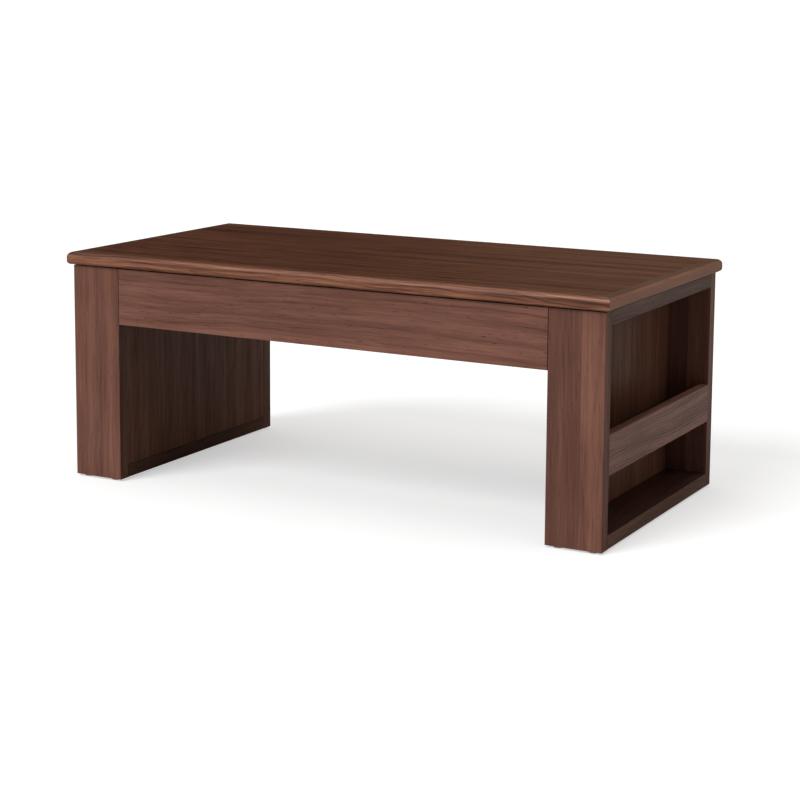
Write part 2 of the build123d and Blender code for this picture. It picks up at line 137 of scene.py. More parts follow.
def surface(
    name: str, constants: Mapping[str, Any]
) -> tuple[bpy.types.Material, bpy.types.Node]:
    """Makes a material with one principled shader.

    Args:
        name: The material's name.
        constants: Shader inputs that are the same all over the surface.

    Returns:
        The material and its shader.
    """
    material = bpy.data.materials.new(name)
    material.use_nodes = True
    material.node_tree.nodes.clear()
    shader = node(material.node_tree, "BsdfPrincipled", constants)
    node(material.node_tree, "OutputMaterial", links={"Surface": shader.outputs["BSDF"]})
    return material, shader


# ---------- Finishes ----------


@dataclass(frozen=True)
class Walnut:
    """Walnut, sliced or planed along the grain, sanded and lacquered satin.

    The eye reads long brown streaks of every width, a few darker growth lines that now and
    then close into arches, short open pores and a soft sheen that follows the curl.
    """

    name: str
    grain: Way
    across: Way
    shades: tuple[str, str, str] = ("#4f3128", "#734c40", "#8c6150")
    tone: float = 1.0
    streak_mm: float = 21.0         # width of the widest streaks
    streak_length_mm: float = 800.0
    contrast: float = 0.72
    ring_mm: float = 9.0            # between growth lines
    ring_strength: float = 0.1
    heart_mm: float = 260.0         # from the heart of the log: small values give arches
    heart_across: float = 0.0       # where the heart lies across the piece, in metres
    heart_slope: float = 0.10       # how fast the cut leaves the heart along the grain
    ring_slant: float = 0.6         # how much the rings lean through the thickness
    ring_waver: float = 3.2         # how many years a line wanders with the curl
    warp_mm: float = 14.0           # how far the grain wanders
    shift: float = 0.0              # which part of the log the piece is cut from
    seam: float | None = None       # place of the joint between two leaves, in metres
    seam_tone: float = 1.3          # tone past the joint
    leaf_step: float = 3.7          # metres along the log from one leaf to the next
    facing: Way | None = None       # faces this way are tinted: edge banding, with painted shade laid on a lipping's upward faces or taken off a shelf board's edges
    facing_tint: str = "#ffffff"
    banding_and_painted_shade_tone: float = 1.0
    roughness: float = 0.42
    sheen: float = 0.2              # how much the satin lacquer reflects
    fibre_mm: float = 2.2           # drawn four times coarser than real, so that it shows
    fibre_length_mm: float = 70.0
    pore_mm: float = 1.8            # drawn six times coarser than real, so that it shows
    pore_length_mm: float = 24.0
    pore_tint: str = "#cfc2bb"
    curl_tint: str = "#e9e3df"
    fibre_share: float = 0.34       # of the fibres in the shade, against the streaks
    relief_mm: float = 0.15
    relief_strength: float = 0.3
    dark_rougher: float = 0.06      # open grain is rougher, and dense pale grain smoother
    light_smoother: float = 0.04

    def material(self) -> bpy.types.Material:
        """Builds the material.

        Returns:
            The material, ready for a piece whose object sits at the table's origin.
        """
        material, shader = surface(
            self.name,
            {"IOR": 1.5, "Specular IOR Level": self.sheen, "Coat Weight": 0.04,
             "Coat Roughness": 0.3},
        )
        tree = material.node_tree
        place, past = self._log_space(tree)
        long_way, wide_way = 1000 / self.streak_length_mm, 1000 / self.streak_mm
        streaks = self._noise(tree, place, (long_way, wide_way), detail=6.0, roughness=0.66)
        curl = self._noise(tree, place, (5.0, 9.0), detail=2.0, roughness=0.5)
        fibre_scale = 1000 / self.fibre_length_mm, 1000 / self.fibre_mm
        fibres = self._noise(tree, place, fibre_scale, detail=2.0, roughness=0.6)
        pore_scale = 1000 / self.pore_length_mm, 1000 / self.pore_mm
        pores = self._noise(tree, place, pore_scale, detail=1.0, roughness=0.4)
        rings = self._rings(tree, place, curl, streaks)

        shade = self._blend(tree, streaks, fibres, self.fibre_share)
        shade = self._blend(tree, shade, rings, self.ring_strength)
        colour = self._colour(tree, shade, curl, pores, past)
        tree.links.new(colour, shader.inputs["Base Color"])

        rough = node(
            tree,
            "MapRange",
            {"From Min": 0.35, "From Max": 0.65, "To Min": self.roughness + self.dark_rougher,
             "To Max": self.roughness - self.light_smoother},
            {"Value": shade},
        )
        tree.links.new(rough.outputs["Result"], shader.inputs["Roughness"])
        relief = self._blend(tree, fibres, pores, 0.5)
        bump = node(
            tree,
            "Bump",
            {"Strength": self.relief_strength, "Distance": self.relief_mm * MM},
            {"Height": relief},
        )
        tree.links.new(bump.outputs["Normal"], shader.inputs["Normal"])
        return material

    def _colour(
        self,
        tree: bpy.types.NodeTree,
        shade: bpy.types.NodeSocket,
        curl: bpy.types.NodeSocket,
        pores: bpy.types.NodeSocket,
        past: bpy.types.NodeSocket | None,
    ) -> bpy.types.NodeSocket:
        """Colours the wood.

        Args:
            tree: The material's tree.
            shade: How pale the wood is.
            curl: A slow noise that clouds the colour.
            pores: A fine noise whose low spots are pores.
            past: 1 past the leaf joint, where there is one.

        Returns:
            The colour.
        """
        dark, middle, light = (linear(colour, self.tone) for colour in self.shades)
        # The noises gather round 0.5 and the growth lines round 0.8
        middle_at = 0.5 * (1 - self.ring_strength) + 0.8 * self.ring_strength
        reach = 0.15 / self.contrast
        stops = ((middle_at - reach, dark), (middle_at, middle), (middle_at + reach * 0.8, light))
        ramp = "ValToRGB"
        multiply = {"data_type": "RGBA", "blend_type": "MULTIPLY"}
        colour = node(tree, ramp, links={"Fac": shade}, stops=stops).outputs["Color"]
        for source, low, tint, high in (
            (curl, 0.3, self.curl_tint, 0.65), (pores, 0.25, self.pore_tint, 0.31)
        ):
            stops = ((low, linear(tint)), (high, linear("#ffffff")))
            stain = node(tree, ramp, links={"Fac": source}, stops=stops).outputs["Color"]
            mixed = node(tree, "Mix", multiply | {0: 1.0}, {6: colour, 7: stain})
            colour = mixed.outputs[2]
        if past is not None:
            past_tone = multiply | {7: linear("#ffffff", self.seam_tone)}
            leaf = node(tree, "Mix", past_tone, {0: past, 6: colour})
            colour = leaf.outputs[2]
        if self.facing is not None:
            colour = self._faced(tree, colour)
        return colour

    def _log_space(
        self, tree: bpy.types.NodeTree
    ) -> tuple[bpy.types.NodeSocket, bpy.types.NodeSocket | None]:
        """Lays out space along, across and through the grain, with its wander.

        Args:
            tree: The material's tree.

        Returns:
            The place in the log, and 1 past the leaf joint where there is one.
        """
        where = node(tree, "TexCoord").outputs["Object"]
        split = node(tree, "SeparateXYZ", links={0: where})
        third = next(way for way in Way if way not in (self.grain, self.across))
        along = split.outputs[self.grain.value]
        across = split.outputs[self.across.value]
        through = split.outputs[third.value]
        past = None
        if self.seam is not None:
            past = node(
                tree, "Math", {"operation": "GREATER_THAN", 1: self.seam}, {0: across}
            ).outputs[0]
            along = node(
                tree, "Math", {"operation": "MULTIPLY_ADD", 1: self.leaf_step}, {0: past, 2: along}
            ).outputs[0]
        raw = node(tree, "CombineXYZ", links={0: along, 1: across, 2: through})
        # Uneven factors of the shift keep the wander and the noises of a piece apart
        wander_at = node(
            tree,
            "Mapping",
            {"Location": (self.shift * 1.31, self.shift * 0.17, self.shift * 0.53)},
            {"Vector": raw.outputs[0]},
        ).outputs[0]
        wander = self._noise(tree, wander_at, (1.6, 4.0), detail=2.0, roughness=0.45)
        offset = node(
            tree,
            "MapRange",
            {"To Min": -self.warp_mm * MM, "To Max": self.warp_mm * MM},
            {"Value": wander},
        )
        sideways = node(tree, "CombineXYZ", links={1: offset.outputs[0], 2: offset.outputs[0]})
        place = node(
            tree, "VectorMath", {"operation": "ADD"}, {0: raw.outputs[0], 1: sideways.outputs[0]}
        )
        return place.outputs[0], past

    def _noise(
        self,
        tree: bpy.types.NodeTree,
        place: bpy.types.NodeSocket,
        scale: tuple[float, float],
        detail: float,
        roughness: float,
    ) -> bpy.types.NodeSocket:
        """Noise that is stretched along the grain.

        Args:
            tree: The material's tree.
            place: The place in the log.
            scale: Repeats a metre along and across the grain.
            detail: Octaves.
            roughness: Share of the finer octaves.

        Returns:
            A value from 0 to 1.
        """
        stretched = node(
            tree,
            "Mapping",
            {"Scale": (scale[0], scale[1], scale[1]),
             "Location": (self.shift * 7.1, self.shift * 3.3, self.shift * 5.7)},
            {"Vector": place},
        )
        made = node(
            tree,
            "TexNoise",
            {"Scale": 1.0, "Detail": detail, "Roughness": roughness},
            {"Vector": stretched.outputs[0]},
        )
        return made.outputs[0]

    def _rings(
        self,
        tree: bpy.types.NodeTree,
        place: bpy.types.NodeSocket,
        curl: bpy.types.NodeSocket,
        streaks: bpy.types.NodeSocket,
    ) -> bpy.types.NodeSocket:
        """Growth lines: the cut crosses a slim cone of rings, which draws arches near its heart.

        Args:
            tree: The material's tree.
            place: The place in the log.
            curl: A slow noise that makes the lines waver.
            streaks: The streaks, which thin the lines here and there.

        Returns:
            A value that is low on the dark line at the end of each year.
        """
        split = node(tree, "SeparateXYZ", links={0: place})
        slanted = node(
            tree,
            "Math",
            {"operation": "MULTIPLY_ADD", 1: self.ring_slant},
            {0: split.outputs[2], 2: split.outputs[1]},
        )
        heart = node(
            tree, "Math", {"operation": "SUBTRACT", 1: self.heart_across}, {0: slanted.outputs[0]}
        )
        away = node(
            tree,
            "Math",
            {"operation": "MULTIPLY_ADD", 1: self.heart_slope, 2: self.heart_mm * MM},
            {0: split.outputs[0]},
        )
        cut = node(tree, "CombineXYZ", links={0: heart.outputs[0], 1: away.outputs[0]})
        radius = node(tree, "VectorMath", {"operation": "LENGTH"}, {0: cut.outputs[0]})
        uneven = node(tree, "Math", {"operation": "MULTIPLY", 1: self.ring_waver}, {0: curl})
        years = node(
            tree,
            "Math",
            {"operation": "MULTIPLY_ADD", 1: 1000 / self.ring_mm},
            {0: radius.outputs["Value"], 2: uneven.outputs[0]},
        )
        year = node(tree, "Math", {"operation": "FRACT"}, {0: years.outputs[0]})
        # A line darkens through the second half of its year, and is faint in pale streaks
        falling = node(
            tree,
            "MapRange",
            {"interpolation_type": "SMOOTHSTEP", "From Min": 0.5, "From Max": 0.96,
             "To Min": 0.0, "To Max": 1.0},
            {"Value": year.outputs[0]},
        )
        faint = node(
            tree,
            "MapRange",
            {"From Min": 0.42, "From Max": 0.6, "To Min": 1.0, "To Max": 0.15},
            {"Value": streaks},
        )
        line = node(
            tree,
            "Math",
            {"operation": "MULTIPLY"},
            {0: falling.outputs["Result"], 1: faint.outputs["Result"]},
        )
        pale = node(tree, "Math", {"operation": "SUBTRACT", 0: 1.0}, {1: line.outputs[0]})
        return pale.outputs[0]

    @staticmethod
    def _blend(
        tree: bpy.types.NodeTree,
        first: bpy.types.NodeSocket,
        second: bpy.types.NodeSocket,
        share: float,
    ) -> bpy.types.NodeSocket:
        """Mixes two values.

        Args:
            tree: The material's tree.
            first: One value.
            second: The other.
            share: How much of the second there is, from 0 to 1.

        Returns:
            The mixed value.
        """
        made = node(tree, "Mix", {"Factor": share}, {"A": first, "B": second})
        return made.outputs[0]

    def _faced(
        self, tree: bpy.types.NodeTree, colour: bpy.types.NodeSocket
    ) -> bpy.types.NodeSocket:
        """Tints the faces that look in one direction of the table's frame: edge banding, and
        painted shade.

        Args:
            tree: The material's tree.
            colour: The wood's colour.

        Returns:
            The colour, tinted on those faces.
        """
        normal = node(tree, "TexCoord").outputs["Normal"]
        part = node(tree, "SeparateXYZ", links={0: normal})
        size = node(tree, "Math", {"operation": "ABSOLUTE"}, {0: part.outputs[self.facing.value]})
        share = node(
            tree, "MapRange", {"From Min": 0.6, "From Max": 0.92}, {"Value": size.outputs[0]}
        )
        made = node(
            tree,
            "Mix",
            {"data_type": "RGBA", "blend_type": "MULTIPLY",
             7: linear(self.facing_tint, self.banding_and_painted_shade_tone)},
            {0: share.outputs["Result"], 6: colour},
        )
        return made.outputs[2]


@dataclass(frozen=True)
class Speckled:
    """A plain finish with a fine mottle: what is left of how it was made.

    Paint and plastic show the orange peel of the spray or the grain of the mould, and
    plated steel shows the faint cloud of the bath.
    """

    name: str
    colour: str
    worn: str
    grain_mm: float
    roughness: float
    metallic: float = 0.0
    ior: float | None = 1.5         # None keeps the shader's own, for metals
    relief_mm: float = 0.05
    stretch: Point = (1.0, 1.0, 1.0)
    cloud_scale: float = 22.0       # clouds a metre
    cloud_share: float = 0.4        # of the clouds in the mottle
    uneven: float = 0.08            # how far the roughness strays

    def material(self) -> bpy.types.Material:
        """Builds the material.

        Returns:
            The material.
        """
        constants = {"Metallic": self.metallic}
        if self.ior is not None:
            constants["IOR"] = self.ior
        material, shader = surface(self.name, constants)
        tree = material.node_tree
        where = node(tree, "TexCoord").outputs["Object"]
        spread = tuple(s / (self.grain_mm * MM) for s in self.stretch)
        stretched = node(tree, "Mapping", {"Scale": spread}, {"Vector": where})
        fine = node(
            tree,
            "TexNoise",
            {"Scale": 1.0, "Detail": 3.0, "Roughness": 0.6},
            {"Vector": stretched.outputs[0]},
        ).outputs[0]
        cloud = node(
            tree, "TexNoise", {"Scale": self.cloud_scale, "Detail": 2.0}, {"Vector": where}
        ).outputs[0]
        mixed = node(tree, "Mix", {"Factor": self.cloud_share}, {"A": fine, "B": cloud}).outputs[0]
        stops = ((0.35, linear(self.colour)), (0.72, linear(self.worn)))
        colour = node(tree, "ValToRGB", links={"Fac": mixed}, stops=stops)
        tree.links.new(colour.outputs["Color"], shader.inputs["Base Color"])
        rough = node(
            tree,
            "MapRange",
            {"To Min": self.roughness - self.uneven, "To Max": self.roughness + self.uneven},
            {"Value": mixed},
        )
        tree.links.new(rough.outputs["Result"], shader.inputs["Roughness"])
        bump = node(
            tree, "Bump", {"Strength": 0.4, "Distance": self.relief_mm * MM}, {"Height": fine}
        )
        tree.links.new(bump.outputs["Normal"], shader.inputs["Normal"])
        return material


# Powder coat on pressed steel: deep black with an orange peel
POWDER_COAT = Speckled("black_powder_coat", "#0d0d0e", "#1b1b1c", 0.9, 0.5, relief_mm=0.08)
# Bright zinc on turned steel: pale, with a faint blue cloud
ZINC = Speckled("zinc_plate", "#a9adb2", "#c9ccd0", 0.6, 0.32, metallic=1.0, ior=None)
# Drawn spring wire, oiled: darker than plate, and faintly clouded
SPRING_WIRE = Speckled("oiled_spring_wire", "#6d6e71", "#9a9b9e", 0.4, 0.34, metallic=1.0, ior=None)
# Moulded nylon glides: milky, with a matt skin
NYLON = Speckled("moulded_nylon", "#d8d5cd", "#efece4", 1.2, 0.55, ior=1.53)
# Rubber bumpers: black and matt
RUBBER = Speckled("black_rubber", "#151515", "#232323", 0.5, 0.8, ior=1.52)
# Beech dowels and cleats: pale, with short flecks
BEECH = Speckled(
    "sanded_beech", "#b98d63", "#d3ac83", 3.0, 0.6, relief_mm=0.03, stretch=(0.15, 1.0, 1.0)
)


# ---------- Meshes ----------


def quarter(start: Point2, reach: float, rise: float, steps: int = 5) -> Profile:
    """A quarter of an ellipse, which leaves its start level and ends upright.

    Args:
        start: Radius and height of the start.
        reach: How far the radius grows.
        rise: How far the height changes.
        steps: Pieces of the curve.

    Returns:
        Radius and height pairs, without the start.
    """
    angles = [math.pi / 2 * i / steps for i in range(1, steps + 1)]
    return [(start[0] + reach * math.sin(a), start[1] + rise * (1 - math.cos(a))) for a in angles]


def turned(profile: Profile, foot: Vector, axis: Vector, sides: int = 40) -> bmesh.types.BMesh:
    """Turns a profile round an axis into a closed solid.

    Args:
        profile: Radius and height pairs in metres; it starts and ends on the axis.
        foot: The point that height 0 lies on.
        axis: The way that heights run.
        sides: Steps round the axis.

    Returns:
        The solid.
    """
    work = bmesh.new()
    turn = axis.to_track_quat("Z", "Y").to_matrix().to_4x4()
    place = Matrix.Translation(foot) @ turn
    rings = []
    for radius, height in profile:
        if radius == 0:
            rings.append([work.verts.new(place @ Vector((0, 0, height)))])
            continue
        angles = (math.tau * i / sides for i in range(sides))
        rings.append(
            [
                work.verts.new(place @ Vector((radius * math.cos(a), radius * math.sin(a), height)))
                for a in angles
            ]
        )
    for low, high in zip(rings, rings[1:]):
        for i in range(sides):
            j = (i + 1) % sides
            if len(low) == 1:
                work.faces.new((low[0], high[j], high[i]))
            elif len(high) == 1:
                work.faces.new((low[i], low[j], high[0]))
            else:
                work.faces.new((low[i], low[j], high[j], high[i]))
    bmesh.ops.recalc_face_normals(work, faces=work.faces)
    return work


def gather(name: str, solids: Iterable[bmesh.types.BMesh], smooth: float = 35.0) -> bpy.types.Mesh:
    """Joins solids into one mesh, smooth except at its sharp edges.

    Args:
        name: The mesh's name.
        solids: The solids, which are freed.
        smooth: Edges that turn by more degrees than this stay sharp.

    Returns:
        The mesh.
    """
    whole = bmesh.new()
    for solid in solids:
        part = bpy.data.meshes.new("part")
        solid.to_mesh(part)
        solid.free()
        whole.from_mesh(part)
        bpy.data.meshes.remove(part)
    mesh = bpy.data.meshes.new(name)
    whole.to_mesh(mesh)
    whole.free()
    for polygon in mesh.polygons:
        polygon.use_smooth = True
    mesh.set_sharp_from_angle(angle=math.radians(smooth))
    return mesh


def tube(path: Sequence[Vector], radius: float, sides: int = 10) -> bmesh.types.BMesh:
    """Sweeps a round wire along a path, with flat ends.

    Args:
        path: Points along the wire's middle.
        radius: The wire's radius.
        sides: Steps round the wire.

    Returns:
        The solid.
    """
    work = bmesh.new()
    rings = []
    side = (path[1] - path[0]).orthogonal().normalized()
    for i, point in enumerate(path):
        before, after = path[max(i - 1, 0)], path[min(i + 1, len(path) - 1)]
        ahead = (after - before).normalized()
        side = (side - ahead * side.dot(ahead)).normalized()
        other = ahead.cross(side)
        rings.append(
            [
                work.verts.new(
                    point
                    + side * radius * math.cos(math.tau * k / sides)
                    + other * radius * math.sin(math.tau * k / sides)
                )
                for k in range(sides)
            ]
        )
    for low, high in zip(rings, rings[1:]):
        for k in range(sides):
            j = (k + 1) % sides
            work.faces.new((low[k], low[j], high[j], high[k]))
    work.faces.new(list(reversed(rings[0])))
    work.faces.new(rings[-1])
    return work


def islands(node_name: str) -> list[tuple[Vector, Vector]]:
    """Finds the separate solids of a CAD node.

    Args:
        node_name: The node.

    Returns:
        The lowest and highest corner of each solid, in order of X, then Y, then Z.
    """
    work = bmesh.new()
    work.from_mesh(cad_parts[node_name].data)
    bmesh.ops.remove_doubles(work, verts=work.verts, dist=0.01 * MM)
    left = set(work.verts)
    boxes = []
    while left:
        stack = [left.pop()]
        found = []
        while stack:
            vertex = stack.pop()
            found.append(vertex.co.copy())
            for edge in vertex.link_edges:
                other = edge.other_vert(vertex)
                if other in left:
                    left.remove(other)
                    stack.append(other)
        low = Vector([min(co[i] for co in found) for i in range(3)])
        high = Vector([max(co[i] for co in found) for i in range(3)])
        boxes.append((low, high))
    work.free()
    return sorted(boxes, key=lambda box: tuple(round(c, 4) for c in box[0]))


def outer_way(low: Vector, high: Vector) -> tuple[Vector, Vector]:
    """Finds how a pin that lies along the table's length points outward.

    Args:
        low: The pin's lowest corner.
        high: Its highest corner.

    Returns:
        The middle of its inner end, and the way to its outer end.
    """
    middle = (low + high) / 2
    if middle.x > 0:
        return Vector((low.x, middle.y, middle.z)), Vector((1, 0, 0))
    return Vector((high.x, middle.y, middle.z)), Vector((-1, 0, 0))


def add_piece(
    name: str,
    solids: Iterable[bmesh.types.BMesh],
    material: bpy.types.Material,
    body: str,
) -> bpy.types.Object:
    """Adds a finished piece to the scene.

    Args:
        name: The piece's name.
        solids: The piece's solids, in the table's frame.
        material: Its material.
        body: The body that it moves with.

    Returns:
        The piece.
    """
    mesh = gather(name, solids)
    piece = bpy.data.objects.new(name, mesh)
    bpy.context.scene.collection.objects.link(piece)
    mesh.materials.append(material)
    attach(piece, body)
    log.info("%s: made, %d faces, rides on %s", name, len(mesh.polygons), body)
    return piece


def finish_node(node_name: str, material: bpy.types.Material) -> None:
    """Gives a CAD node its material.

    Args:
        node_name: The node.
        material: The material.
    """
    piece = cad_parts[node_name]
    if not piece.material_slots:
        piece.data.materials.append(material)
    for place in piece.material_slots:
        place.material = material
    log.info("%s: dressed in %s", node_name, material.name)


# ---------- Legs ----------


@dataclass
class Legs:
    """The two leg boxes, with their book shelves."""

    seam_from_outer: float = 46 * MM        # leaf joint on the right leg's front
    glide_radius: float = 9 * MM
    glide_round: float = 1.2 * MM
    banding_tint: str = "#ecebd6"
    banding_tone: float = 0.84
    shelf_painted_shade: float = 0.31       # painted shade: the boards of the shelves are darkened to the shade inside the leg boxes
    rail_edge_tone: float = 0.8     # the outer edges of those boards, against the uprights'

    def dress(self) -> None:
        """Gives each board the veneer of its own leaf, with painted shade on the shelf boards and
        on the right leg's panel.
        """
        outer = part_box("right_leg_front_board")[1].x
        for count, (side, sign) in enumerate(SIDES):
            step = 2.3 * count
            # The shelf boards' outer edges are lifted out of the painted shade, to a share of the
            # uprights' banding
            rail_edge = self.banding_tone * self.rail_edge_tone / self.shelf_painted_shade
            edge = {
                "facing": Way.LENGTH,
                "facing_tint": self.banding_tint,
                "banding_and_painted_shade_tone": self.banding_tone,
            }
            upright = Walnut(
                f"walnut_upright_{side}",
                Way.HEIGHT,
                Way.LENGTH,
                tone=0.78 if sign > 0 else 1.03,
                contrast=0.58,
                seam=outer - self.seam_from_outer if sign > 0 else None,
                seam_tone=1.36,
                heart_mm=320,
                ring_strength=0.06,
                shift=1.1 + step,
                **edge,
            )
            rail = Walnut(
                f"walnut_rail_{side}",
                Way.DEPTH,
                Way.HEIGHT,
                # Painted shade: the shelf boards are darkened to the shade inside the leg boxes
                tone=self.shelf_painted_shade,
                shift=4.1 + step,
                heart_mm=300,
                **edge | {"banding_and_painted_shade_tone": rail_edge},
            )
            panel = Walnut(
                f"walnut_panel_{side}",
                Way.HEIGHT,
                Way.DEPTH,
                shades=("#4d3226", "#6f4a3b", "#875f4c"),
                # Painted shade: the right leg's panel is darker than the left's, for the shade deep
                # inside its open shelves
                tone=0.73 if sign > 0 else 0.98,
                contrast=0.75,
                sheen=0.12,
                heart_mm=280,
                ring_mm=16,
                ring_strength=0.08,
                shift=6.4 + step,
            )
            fence = Walnut(
                f"walnut_fence_{side}",
                Way.DEPTH,
                Way.HEIGHT,
                shades=("#4a342d", "#755247", "#8d685b"),
                tone=1.12,
                heart_mm=24,
                heart_across=0.30,
                heart_slope=0.09,
                ring_mm=6,
                ring_strength=0.2,
                warp_mm=16,
                shift=8.7 + step,
            )
            boards = {
                upright: ("front_board", "back_board"),
                rail: ("top_board", "bottom_board", "shelf"),
                panel: ("inner_panel",),
                fence: ("fence",),
            }
            for finish, names in boards.items():
                made = finish.material()
                for name in names:
                    finish_node(f"{side}_leg_{name}", made)

    def build(self, nylon: bpy.types.Material, beech: bpy.types.Material) -> None:
        """Makes the glides, turned with a rounded foot, and dresses the dowels.

        Args:
            nylon: The glides' material.
            beech: The dowels' material.
        """
        for side, _ in SIDES:
            finish_node(f"{side}_leg_dowels", beech)
            solids = []
            for low, high in islands(f"{side}_leg_glides"):
                middle = (low + high) / 2
                height = high.z - low.z
                foot = (self.glide_radius - self.glide_round, 0)
                profile = [(0, 0), foot, *quarter(foot, self.glide_round, self.glide_round)]
                profile += [(self.glide_radius, height), (0, height)]
                below = Vector((middle.x, middle.y, low.z))
                solids.append(turned(profile, below, Vector((0, 0, 1))))
            name = f"{side}_glides_turned"
            piece = add_piece(name, solids, nylon, "case")
            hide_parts(f"{side}_leg_glides")


# ---------- Case ----------


@dataclass
class Case:
    """The shallow case between the legs."""

    bolt_round: float = 0.8 * MM
    bolt_head: float = 3.5 * MM     # its height
    bolt_shank: float = 3.0 * MM    # its radius
    socket_radius: float = 2.6 * MM
    socket_depth: float = 2.2 * MM
    bumper_round: float = 1.2 * MM

    def dress(self, beech: bpy.types.Material) -> None:
        """Gives the boards of the case their veneer.

        Args:
            beech: The cleats' material.
        """
        apron = Walnut(
            "walnut_apron",
            Way.LENGTH,
            Way.HEIGHT,
            heart_mm=-30,
            heart_across=0.40,
            heart_slope=0.09,
            tone=1.08,
            contrast=0.6,
            streak_mm=16,
            pore_tint="#a89388",
            ring_mm=11,
            ring_strength=0.08,
            warp_mm=20,
            shift=0.0,
        )
        end = Walnut("walnut_case_end", Way.DEPTH, Way.HEIGHT, tone=0.8, shift=13.0)
        lining = Walnut(
            "walnut_foil_lining",
            Way.LENGTH,
            Way.DEPTH,
            tone=0.7,
            ring_strength=0.15,
            shift=15.0,
            roughness=0.55,
        )
        for names, finish in (
            (("apron_front", "apron_back"), apron),
            (("case_end_left", "case_end_right"), end),
            (("case_bottom",), lining),
        ):
            made = finish.material()
            for name in names:
                finish_node(name, made)
        for name in ("front", "back", "left", "right"):
            finish_node(f"cleat_{name}", beech)

    def build(self, zinc: bpy.types.Material, rubber: bpy.types.Material) -> None:
        """Makes the case bolts and the bumpers.

        Args:
            zinc: The bolts' material.
            rubber: The bumpers' material.
        """
        bolts = [self._bolt(low, high) for low, high in islands("case_bolts")]
        piece = add_piece("case_bolts_headed", bolts, zinc, "case")
        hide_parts("case_bolts")
        domes = [self._bumper(low, high) for low, high in islands("bumpers")]
        piece = add_piece("bumpers_domed", domes, rubber, "case")
        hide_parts("bumpers")

    def _bolt(self, low: Vector, high: Vector) -> bmesh.types.BMesh:
        """One bolt with a rounded head, a round socket and a pointed tip.

        Args:
            low: The bolt's lowest corner.
            high: Its highest corner.

        Returns:
            The bolt.
        """
        radius, length, shank = (high.y - low.y) / 2, high.x - low.x, self.bolt_shank
        rim = (radius - self.bolt_round, 0)
        profile = [(0, self.socket_depth), (self.socket_radius, self.socket_depth),
                   (self.socket_radius, 0), rim]
        profile += quarter(rim, self.bolt_round, self.bolt_round, steps=4)
        profile += [(radius, self.bolt_head), (shank, self.bolt_head),
                    (shank, length - shank / 2), (shank / 2, length), (0, length)]
        return turned(profile, *outer_way(low, high), sides=24)

    def _bumper(self, low: Vector, high: Vector) -> bmesh.types.BMesh:
        """One bumper with a rounded upper edge.

        Args:
            low: The bumper's lowest corner.
            high: Its highest corner.

        Returns:
            The bumper.
        """
        middle = (low + high) / 2
        radius, height = (high.x - low.x) / 2, high.z - low.z
        rim = (radius - self.bumper_round, height)
        edge = quarter(rim, self.bumper_round, -self.bumper_round)
        profile = [(0, 0), (radius, 0), *reversed(edge), rim, (0, height)]
        return turned(profile, Vector((middle.x, middle.y, low.z)), Vector((0, 0, 1)))


# ---------- Lifting top ----------


@dataclass
class LiftTop:
    """The veneered panel and the solid lipping round it."""

    # Painted shade: the top is darker than the legs' veneer, for the shade it has in the lighting
    tone: float = 0.45
    long_tone: float = 0.88
    short_tone: float = 1.3

    def dress(self) -> None:
        """Gives the panel and the lippings their wood, with painted shade on the top and on the
        lippings' upward faces.
        """
        panel = Walnut(
            "walnut_top_panel",
            Way.LENGTH,
            Way.DEPTH,
            shades=("#442519", "#764630", "#9a6446"),
            tone=self.tone,
            contrast=1.3,
            streak_mm=13,
            streak_length_mm=1300,
            heart_mm=350,
            heart_slope=0.02,
            ring_mm=15,
            ring_strength=0.05,
            warp_mm=5,
            shift=21.0,
        )
        long_lipping = Walnut(
            "walnut_long_lipping",
            Way.LENGTH,
            Way.HEIGHT,
            shades=("#4f2f22", "#80523e", "#a67054"),
            tone=self.long_tone,
            contrast=1.25,
            streak_mm=12,
            streak_length_mm=700,
            heart_mm=120,
            ring_strength=0.12,
            warp_mm=20,
            shift=24.0,
            roughness=0.46,
            sheen=0.2,
            # Painted shade: the lipping's upward faces take the top's painted shade
            facing=Way.HEIGHT,
            banding_and_painted_shade_tone=self.tone / self.long_tone,
        )
        short_lipping = Walnut(
            "walnut_short_lipping",
            Way.DEPTH,
            Way.HEIGHT,
            shades=("#634537", "#7d5a49", "#8d6957"),
            tone=self.short_tone,
            contrast=0.4,
            ring_strength=0.03,
            shift=27.0,
            roughness=0.5,
            # Painted shade: the lipping's upward faces take the top's painted shade
            facing=Way.HEIGHT,
            banding_and_painted_shade_tone=self.tone / self.short_tone,
        )
        finish_node("top_panel", panel.material())
        for ends, finish in ((("front", "back"), long_lipping), (("left", "right"), short_lipping)):
            made = finish.material()
            for end in ends:
                finish_node(f"lipping_{end}", made)


# ---------- Lift mechanism ----------


